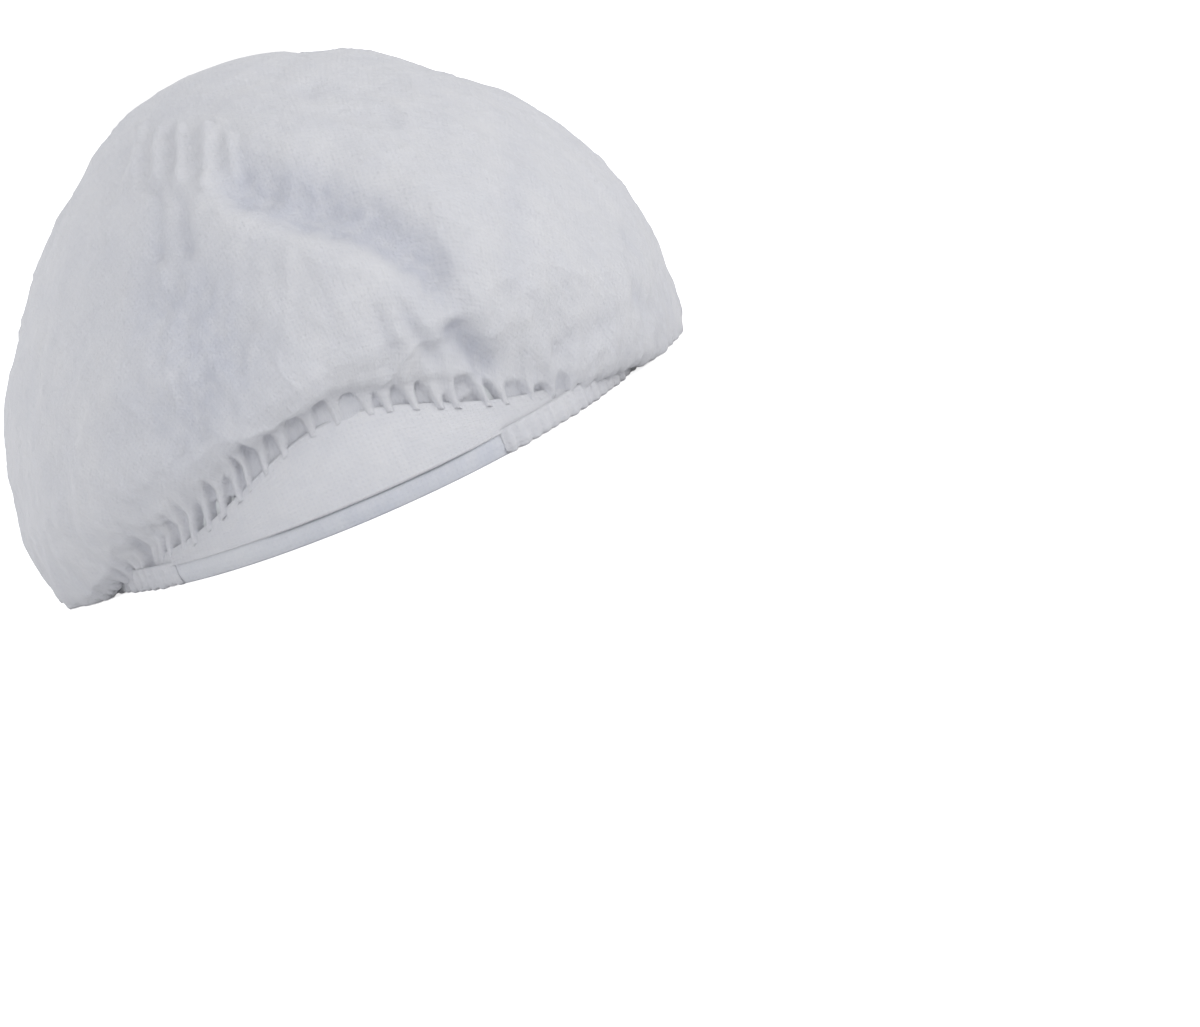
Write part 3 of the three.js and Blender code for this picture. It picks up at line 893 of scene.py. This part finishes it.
def pockets(rng, fins, at, turn, run, leaned):
    """The pointed pockets between the fins: how deep the cloth lies, where it is a fin and where
    a pocket."""
    between = np.clip(np.searchsorted(fins, leaned, side="right") - 1, 0, len(fins) - 2)
    from_fin = np.minimum(leaned - fins[between], fins[between + 1] - leaned)
    half = (by_turn(FIN_HALF, at) * rng.uniform(0.7, 1.5, len(fins)))[between]
    roof = (by_turn(GATHER_ROOF, at) * rng.uniform(0.5, 1.3, len(fins)))[between]
    depth = (by_turn(GATHER_DEPTH, at) * rng.uniform(0.5, 1.2, len(fins)))[between]
    climbed = np.minimum(run / roof, 1.2)
    narrowing = half * (0.8 + 1.5 * climbed ** 2)
    across = smoothstep(-0.9, 0.9, from_fin - narrowing)
    start = 0.2 + 0.8 * smoothstep(0, 2, run)
    closing = smoothstep(0, 1, (1 - climbed) / by_turn(ROOF_SOFT, turn))
    return depth * across * start * closing, (1 - across) * smoothstep(1.0, 0.3, climbed), across * closing


def creases(rng, fins, at, run, leaned):
    """A crease above each fin, which drifts aside and fades."""
    lift = 0
    for place, here in zip(fins, at):
        reach = by_turn(CREASE_LENGTH, here) * rng.uniform(0.3, 1.6)
        drift = rng.uniform(-0.2, 0.2)
        off = leaned - place - drift * np.maximum(run - 4, 0)
        crease = rng.uniform(0.3, 1.1) * np.exp(-(off / (1.2 + run / 18)) ** 2)
        lift += crease * np.exp(-(np.maximum(run - 6, 0) / reach) ** 2)
    return lift


def pleats(rng, turn, run, arc):
    """Long soft pleats, strongest at the sides and the back."""
    order = np.argsort(arc)
    lift = 0
    place = arc.min()
    while place < arc.max():
        here = np.interp(place, arc[order], turn[order])
        strong = 0.25 + 1.5 * smoothstep(60, 120, abs(math.degrees(here)))
        off = arc - place - rng.uniform(-0.25, 0.25) * run
        broad = rng.uniform(2.2, 4.5) + run / 16
        pleat = strong * rng.uniform(0.7, 2.6) * np.exp(-(off / broad) ** 2)
        lift += pleat * smoothstep(2, 14, run) * np.exp(-(run / rng.uniform(45, 110)) ** 2)
        place += rng.uniform(8, 18)
    return lift


def gathers(turn, run, arc):
    """How far the gathered edge lifts the cloth, where it is a fin and where a pocket. run is the
    distance up from that edge and arc the distance along it."""
    rng = np.random.default_rng(SEED)
    fins, at = fin_places(rng, turn, arc)
    leaned = arc - by_turn(GATHER_LEAN, turn) * np.minimum(run, 40)
    depth, fin, pocket = pockets(rng, fins, at, turn, run, leaned)
    lift = creases(rng, fins, at, run, leaned) - depth
    lift += pleats(rng, turn, run, arc)
    ahead = smoothstep(40, 16, np.degrees(np.abs(turn_off(turn, 2))))
    uneven = np.stack([arc / 14, 0 * arc, 0 * arc], axis=-1)
    roll = by_turn(GATHER_ROOF, turn) * 0.9 + 2.5 + 2 * noise_field(uneven, 1, 6)
    return lift + 1.3 * ahead * np.exp(-((run - roll) / 3.5) ** 2), fin, pocket


def rest_on_insert(grid):
    """Pushes cloth that a fold has sent into the insert back out to just over it."""
    from_centre = grid - np.array([0, RIM_CENTRE, 0])
    axes = np.array([RIM_X, RIM_Y, SHELL["top"] + SHELL["inset"]]) - SHELL["inset"] + OVER_SHELL
    heads = 0
    for quarter in range(4):
        head = dome_points(quarter * RIVET_SPACING, RIVET_CLIMB, SHELL["inset"])
        heads += OVER_RIVETS * np.exp(-(np.linalg.norm(grid - head, axis=-1) / 8) ** 2)
    ground = np.hypot(from_centre[..., 0] / (axes[0] + heads), from_centre[..., 1] / (axes[1] + heads))
    patches = OVER_PATCHES * smoothstep(0.36, 0.27, ground)
    up = np.maximum(from_centre[..., 2] / (axes[2] + patches), 0)
    level = (ground ** SHELL["shape"] + up ** SHELL["shape"]) ** (1 / SHELL["shape"])
    out = np.where(from_centre[..., 2] > FREE_BELOW, np.maximum(1, 1 / np.maximum(level, 0.5)), 1)
    return from_centre * out[..., None] + np.array([0, RIM_CENTRE, 0])


def crown_folds(grid):
    """Lift of the folds and hollows of the crown's front."""
    place = grid[..., [0, 2]]
    facing = smoothstep(20, -40, grid[..., 1])
    lift = np.zeros(grid.shape[:-1])
    for path, width, height in CROWN_FOLDS:
        lift += height * np.exp(-(path_distance(place, path) / width) ** 2)
    return lift * facing


def crumples(grid, run, arc, sunk):
    """Lumps, ridged crumples and streaks of the cloth, stronger where it is sunk."""
    calm = smoothstep(0, 12, run)
    top = smoothstep(0, 25, run[-1:] - run)
    lift = 2.2 * noise_field(grid, 38, 1) * calm * top
    lift += 0.9 * noise_field(grid, 15, 2) * calm * top
    lift += (0.45 + 0.9 * sunk) * noise_field(grid, 6, 3) * calm
    bent = grid + 4 * np.stack([noise_field(grid, 20, 8), noise_field(grid, 20, 9), 0 * run], axis=-1)
    lift += 0.8 * (1 - 2.5 * np.minimum(np.abs(noise_field(bent, 19, 10)), 0.4)) ** 3 * calm * top
    streaks = np.stack([np.broadcast_to(arc, run.shape), run / 7, 0 * run], axis=-1)
    lift += 0.8 * noise_field(streaks, 4.5, 4) * smoothstep(3, 10, run) * smoothstep(75, 15, run)
    return lift


def crown_mesh(grid, flat, painted_shade):
    """The crown's rings of points, with fewer towards the top, closed with a point."""
    steps = [1] * (FLARE_ROWS + 22) + [2] * 28 + [4] * (DOME_ROWS - 50)
    # hollows carries each point's painted shade, thinned out with the rings
    rings, places, hollows = [[layer[row, ::step] for row, step in enumerate(steps)]
                              for layer in (grid, flat, painted_shade)]
    counts = [len(ring) for ring in rings]
    last = sum(counts)
    faces = ring_faces(counts) + fan_faces(last - counts[-1], counts[-1], last)
    points = np.vstack(rings + [crown_points(np.zeros(1), np.ones(1))])
    places = np.vstack(places + [np.zeros((1, 2))])
    hollows = np.concatenate(hollows + [[0]])
    return mesh_object("crown_cloth", points, faces, CROWN_CLOTH, places, painted_shade=hollows)


def crown_cloth():
    """The puffed crown, closest in its columns at the front, where the gathers are finest."""
    steps = np.arange(CROWN_COLUMNS) * 2 * math.pi / CROWN_COLUMNS
    turn = (steps - 0.45 * np.sin(steps))[None, :]
    along = np.concatenate([
        np.linspace(-1, 0, FLARE_ROWS, endpoint=False),
        np.linspace(0, 1, DOME_ROWS + 1)[:-1] ** 1.15,
    ])
    grid = crown_points(turn, along[:, None])
    steps_up = np.linalg.norm(np.diff(grid, axis=0), axis=-1)
    run = np.vstack([np.zeros((1, CROWN_COLUMNS)), np.cumsum(steps_up, axis=0)])
    edge_step = np.linalg.norm(np.roll(grid[0], -1, axis=0) - grid[0], axis=-1)
    arc = np.concatenate([[0], np.cumsum(edge_step)[:-1]])
    arc = np.where(arc > edge_step.sum() / 2, arc - edge_step.sum(), arc)
    lift, fin, pocket = gathers(turn_off(turn[0], 0), run, arc)
    folds = crown_folds(grid)
    sunk = np.clip(-folds / 5, 0, 1)
    lift += folds + crumples(grid, run, arc, sunk)
    grid = rest_on_insert(grid + normals_of(grid) * lift[..., None])
    grid[..., 2] -= (1.1 * fin + 1.7 * pocket) * np.exp(-(run / 2.5) ** 2)
    grid[..., 2] = np.maximum(grid[..., 2], OFF_FLOOR)
    spread = np.maximum(run[-1:] - run, 0)
    flat = np.stack([spread * np.sin(turn), -spread * np.cos(turn)], axis=-1)
    # shade is painted into the colour where folds sink the cloth and in the gathers' pockets
    cloth = crown_mesh(grid, flat, 1.15 * sunk + 0.4 * pocket)
    thicken(cloth, CLOTH_THICK)
    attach(cloth, "cover")
    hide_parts("crown_cover")


def level_out(turn):
    """Directions straight out from the rim, level with the floor."""
    return np.stack([np.sin(turn), -np.cos(turn), np.zeros(len(turn))], axis=-1)


def strip_points(turn, profile):
    """Sweeps a profile of [inset, height] points round the rim: rows follow the profile."""
    inset = np.array([p[0] for p in profile])[:, None]
    height = np.array([p[1] for p in profile])[:, None]
    return rim_points(turn[None, :], height, inset)


def strip_flat(grid):
    """Flat places of a strip: along it and across it, both from zero."""
    along = np.linalg.norm(np.diff(grid[len(grid) // 2], axis=0), axis=-1)
    across = np.linalg.norm(np.diff(grid[:, grid.shape[1] // 2], axis=0), axis=-1)
    u = np.concatenate([[0], np.cumsum(along)])
    v = np.concatenate([[0], np.cumsum(across)])
    return np.stack(np.meshgrid(u, v), axis=-1)


def strip_sheet(name, grid, material, thick, painted_shade=None):
    """A thin sheet over a grid of points whose rows run along it."""
    sheet = mesh_object(name, grid, grid_faces(*grid.shape[:2]), material, strip_flat(grid), painted_shade=painted_shade)
    thicken(sheet, thick)
    return sheet


def front_hem():
    """The plain strip under the forehead panel, folded up on itself, with the seam groove on top."""
    columns = 260
    turn = np.radians(np.linspace(*HEM_ENDS, columns))
    bend = 0.9
    bottom = arc_points((1.3, bend), bend, np.linspace(0, math.pi, 7))
    outer = [(1.0, HEM_TOP), (1.0, 6.4), (0.9, 6.1), (0.6, 5.9), (0.2, 5.6), (0.0, 4.8), (0.0, 2.8)]
    inner = [(2.8 - 1.0 * t, bend + 5.6 * t) for t in np.linspace(0, 1, 6)]
    grid = strip_points(turn, outer + bottom + inner[1:])
    closed = smoothstep(14, 24, np.degrees(np.abs(turn_off(turn, 0))))
    closed = closed * smoothstep(5.4, 6.2, grid[..., 2])
    waving = noise_field(grid, 22, 11)
    grid[..., 1] += 0.3 * waving - 0.9 * closed * np.cos(turn)
    grid[..., 0] += 0.9 * closed * np.sin(turn)
    grid[..., 2] = np.maximum(grid[..., 2] + 0.12 * noise_field(grid, 9, 12), OFF_FLOOR)
    # painted shade on the hem: none at its left end, full from the middle rightwards
    shaded = np.broadcast_to(smoothstep(-32, 2, np.degrees(turn)), grid.shape[:2])
    hem = strip_sheet("front_hem_strip", grid, HEM_CLOTH, CLOTH_THICK, 0.9 * shaded)
    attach(hem, "cover")
    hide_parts("front_hem")


def forehead_panel():
    """The smooth crescent between the hem's seam and the gathers."""
    columns = 300
    rows = 28
    reach = math.radians(CRESCENT["reach"])
    turn = np.linspace(-reach, reach, columns)[None, :]
    share = np.linspace(0, 1, rows)[:, None]
    rise = crescent_rise(turn)
    low = HEM_TOP - 0.8
    height = low + (CROWN_EDGE + rise + 0.8 - low) * share
    lean = PANEL_LEAN * rise / CRESCENT["height"]
    puff = 0.9 * np.sin(math.pi * share) * rise / CRESCENT["height"]
    inset = -0.75 + (lean + 1.1) * share - puff
    grid = rim_points(turn, height, inset)
    ripple = noise_field(grid, 18, 21) * 0.25
    grid[..., 1] += ripple
    panel = strip_sheet("forehead_crescent", grid, PANEL_CLOTH, PANEL_THICK)
    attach(panel, "cover")
    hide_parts("forehead_panel")


def rear_casing():
    """The folded tube that the elastic gathers, round the sides and the back."""
    columns = 1000
    turn = np.radians(np.linspace(HEM_ENDS[1] - 0.8, 360.8 + HEM_ENDS[0], columns))
    bend = 1.0
    bottom = arc_points((CASING_INSET, bend), bend, np.linspace(0, math.pi, 7))
    outer = [(CASING_INSET - bend, z) for z in np.linspace(HEM_TOP + 0.4, bend, 8)]
    inner = [(CASING_INSET + bend, z) for z in np.linspace(bend, HEM_TOP, 6)]
    profile = outer[:-1] + bottom + inner[1:]
    grid = strip_points(turn, profile)
    rng = np.random.default_rng(SEED + 1)
    ripple = np.zeros(columns)
    at = turn[0]
    while at < turn[-1]:
        half = math.radians(rng.uniform(1.0, 2.1))
        gap = np.abs(turn - at - half) / half
        ripple += rng.uniform(0.5, 1.15) * np.where(gap < 1, 0.5 + 0.5 * np.cos(math.pi * gap), 0)
        at += half * rng.uniform(1.5, 2.0)
    outward = level_out(turn)
    ends = smoothstep(0, 1.8, np.degrees(np.minimum(turn - turn[0], turn[-1] - turn)))
    belly = np.array([0.55 + 0.45 * math.sin(math.pi * min(max(z / HEM_TOP, 0), 1)) for _, z in profile])
    side = np.array([1.0] * 10 + [-0.4] * (len(profile) - 10))
    stands_out = ripple[None] * belly[:, None] * side[:, None] - 0.2
    stands_out = stands_out * ends - (1 - ends) * np.where(side > 0, 0.72, -0.5)[:, None]
    grid += outward[None] * stands_out[..., None]
    low = smoothstep(3.0, 0.0, grid[..., 2])
    grid[..., 2] += low * (0.7 - 0.6 * np.minimum(ripple, 1.1)[None])
    grid[..., 2] = np.maximum(grid[..., 2], OFF_FLOOR)
    sew("casing_stitches", grid[1], outward, **SEAM_STITCH)
    casing = strip_sheet("rear_casing_tube", grid, CROWN_CLOTH, CLOTH_THICK)
    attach(casing, "cover")
    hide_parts("rear_casing")


def elastic_band():
    """The ribbed elastic inside the casing, drawn up in small waves."""
    columns = 700
    turn = np.radians(np.linspace(HEM_ENDS[1] + 0.3, 359.7 + HEM_ENDS[0], columns))
    half, low, high = 0.3, 1.2, 6.0
    out, middle, back = CASING_INSET - half, CASING_INSET, CASING_INSET + half
    profile = [(out, low + half), (out, high - half), (middle, high), (back, high - half),
               (back, low + half), (middle, low)]
    grid = strip_points(turn, profile)
    wave = 0.18 * np.sin(turn * 150)
    outward = level_out(turn)
    grid = grid + outward[None] * wave[None, :, None]
    rows = len(profile)
    faces = [quad[::-1] for quad in grid_faces(rows, columns)]
    last = (rows - 1) * columns
    faces += [(i + 1, i, last + i, last + i + 1) for i in range(columns - 1)]
    faces += [tuple(row * columns + end for row in range(rows)) for end in (0, columns - 1)]
    band = weld(mesh_object("elastic_band", grid, faces, ELASTIC_WEB, strip_flat(grid)))
    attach(band, "cover")
    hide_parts("rear_elastic")


def seam_tape():
    """Tape sewn inside over the raw edge of the gathers, along the top of the crescent."""
    columns = 260
    reach = math.radians(BINDING_REACH)
    turn = np.linspace(-reach, reach, columns)[None, :]
    share = np.linspace(-1, 1, 9)[:, None]
    rise = crescent_rise(turn)
    height = CROWN_EDGE + rise - 2.0 + 2.5 * share
    lean = PANEL_LEAN * rise / CRESCENT["height"]
    grid = rim_points(turn, height, lean + 1.1 + 0.25 * (1 - share ** 2))
    grid[..., 1] += 0.12 * noise_field(grid, 5, 41)
    tape = strip_sheet("gather_binding", grid, HEM_CLOTH, PANEL_THICK)
    inward = -normals_of(grid)
    for row in (1, 7):
        sew(f"binding_stitches_{row}", grid[row] + PANEL_THICK * inward[row], inward[row], **SEAM_STITCH)
    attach(tape, "cover")
    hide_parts("gather_tape")


def blank_label():
    """A blank satin label sewn in at the back, curling a little at its free end."""
    columns, rows = 40, 36
    turn = np.radians(180 + np.linspace(-LABEL_HALF, LABEL_HALF, columns))[None, :]
    share = np.linspace(0, 1, rows)[:, None]
    height = 6 + 29.5 * share + 0 * turn
    inset = 1.7 + 0.35 * np.sin(share * 5) + 0.25 * share ** 3 * np.cos(turn * 20)
    grid = rim_points(turn, height, inset)
    label = strip_sheet("blank_label", grid, SATIN, LABEL_THICK)
    inward = -normals_of(grid)
    sew("label_stitches", grid[1] + LABEL_THICK * inward[1], inward[1], **LABEL_STITCH)
    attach(label, "cover")
    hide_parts("care_label")


insert()
crown_cloth()
front_hem()
forehead_panel()
rear_casing()
elastic_band()
seam_tape()
blank_label()
patch_disc("loop_disc", "cover", "crown_loop_patch", **LOOP_PATCH)


# Camera, floor and light

YAW = 1.5                                  # the camera stands almost straight in front
ELEVATION = 8
ROLL = 23.75
PAN = 3.89
TILT = 0.95
DISTANCE = 1030
LENS = 100
FLOOR = {"colour": (0.85, 0.85, 0.85), "roughness": 0.9, "glow": 0.8, "reach": 6000}
SKY = {"colour": (0.98, 0.988, 1.0), "strength": 0.87, "seen": 1.05}
AIM_HEIGHT = 0.06                          # metres, where the lights point
LIGHTS = [                                 # name, place, size, power and colour
    ("key light", (1.5, -0.7, 0.55), 1.2, 9, (1, 0.99, 0.97)),
    ("back light", (-1.2, 1.3, 0.6), 0.8, 6, (1, 0.99, 0.98)),
    ("front light", (-0.5, -1.6, 0.35), 1.4, 5, (0.98, 0.99, 1)),
]


def set_camera():
    """Aims the camera at the rim's centre, then rolls, pans and tilts it."""
    yaw, rise = math.radians(YAW), math.radians(ELEVATION)
    back = Vector((math.sin(yaw) * math.cos(rise), -math.cos(yaw) * math.cos(rise), math.sin(rise)))
    camera = bpy.data.objects.new("camera", bpy.data.cameras.new("camera"))
    camera.data.lens = LENS
    camera.data.sensor_width = 36
    camera.location = Vector((0, RIM_CENTRE * MM, 0)) + back * DISTANCE * MM
    camera.rotation_mode = "QUATERNION"
    aim = (-back).to_track_quat("-Z", "Y")
    roll = Quaternion((0, 0, 1), -math.radians(ROLL))
    pan = Quaternion((0, 1, 0), -math.radians(PAN))
    tilt = Quaternion((1, 0, 0), -math.radians(TILT))
    camera.rotation_quaternion = aim @ roll @ pan @ tilt
    bpy.context.collection.objects.link(camera)
    bpy.context.scene.camera = camera


def set_stage():
    """A pale floor at the rim, light enough to melt into the white surroundings."""
    s = Surface("floor", FLOOR["colour"], FLOOR["roughness"])
    seen = s.add("LightPath").outputs["Is Camera Ray"]
    glow = s.add("Emission", {"Strength": s.math("MULTIPLY", seen, FLOOR["glow"])})
    s.link(s.add("AddShader", {0: s.shader.outputs[0], 1: glow.outputs[0]}).outputs[0],
           s.output.inputs["Surface"])
    reach = FLOOR["reach"]
    corners = [(-reach, -reach, 0), (reach, -reach, 0), (reach, reach, 0), (-reach, reach, 0)]
    floor = mesh_object("floor", corners, [(0, 1, 2, 3)], s.material, smooth=False)


def area_light(name, place, size, power, colour):
    """A square light, in metres and watts, that points at the cap."""
    light = bpy.data.lights.new(name, "AREA")
    light.size = size
    light.energy = power
    light.color = colour
    obj = bpy.data.objects.new(name, light)
    obj.location = place
    obj.rotation_mode = "QUATERNION"
    obj.rotation_quaternion = (Vector((0, 0, AIM_HEIGHT)) - obj.location).to_track_quat("-Z", "Y")
    bpy.context.collection.objects.link(obj)


def set_light():
    """A soft sky that the camera sees as plain white, and the lights."""
    world = bpy.data.worlds.new("surroundings")
    world.use_nodes = True
    bpy.context.scene.world = world
    nodes = world.node_tree.nodes
    links = world.node_tree.links
    soft = nodes["Background"]
    soft.inputs["Color"].default_value = (*SKY["colour"], 1)
    soft.inputs["Strength"].default_value = SKY["strength"]
    seen = nodes.new("ShaderNodeBackground")
    seen.inputs["Color"].default_value = (1, 1, 1, 1)
    seen.inputs["Strength"].default_value = SKY["seen"]
    path = nodes.new("ShaderNodeLightPath")
    mix = nodes.new("ShaderNodeMixShader")
    links.new(path.outputs["Is Camera Ray"], mix.inputs[0])
    links.new(soft.outputs[0], mix.inputs[1])
    links.new(seen.outputs[0], mix.inputs[2])
    links.new(mix.outputs[0], nodes["World Output"].inputs["Surface"])
    for light in LIGHTS:
        area_light(*light)
    bpy.context.scene.view_settings.view_transform = "Standard"


set_camera()
set_stage()
set_light()
